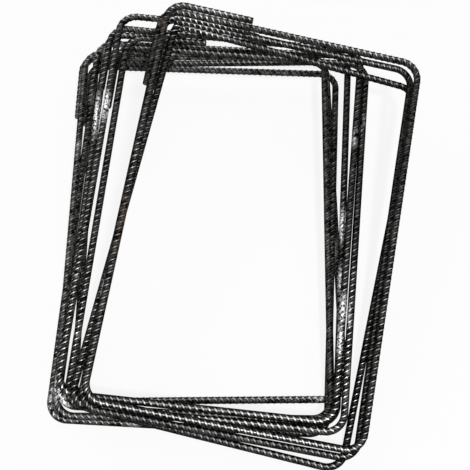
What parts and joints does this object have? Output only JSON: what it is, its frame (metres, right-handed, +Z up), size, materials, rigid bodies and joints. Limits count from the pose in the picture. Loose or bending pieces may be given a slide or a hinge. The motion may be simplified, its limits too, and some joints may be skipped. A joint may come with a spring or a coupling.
{
  "type": "bundle of rebar stirrups",
  "caption": "Loose pile of closed rectangular rebar stirrups, each bent from one ribbed steel bar with two overlapping hooks at one corner.",
  "frame": {"origin": "middle of the pile's footprint, on the floor it lies on", "axes": "+Z up from the floor; +Y along the long sides, towards the corner end where the hooks overlap; +X along the short sides, away from the hooks"},
  "size_m": [0.4246, 0.5302, 0.1595],
  "materials": {
    "rebar_steel": "dark mill scale with a dull sheen, slight rust"
  },
  "bodies": {
    "root": {"stirrup_1": "rebar_steel", "stirrup_2": "rebar_steel", "stirrup_3": "rebar_steel", "stirrup_4": "rebar_steel", "stirrup_5": "rebar_steel", "stirrup_6": "rebar_steel", "stirrup_7": "rebar_steel", "stirrup_8": "rebar_steel", "stirrup_9": "rebar_steel"}
  },
  "joints": []
}
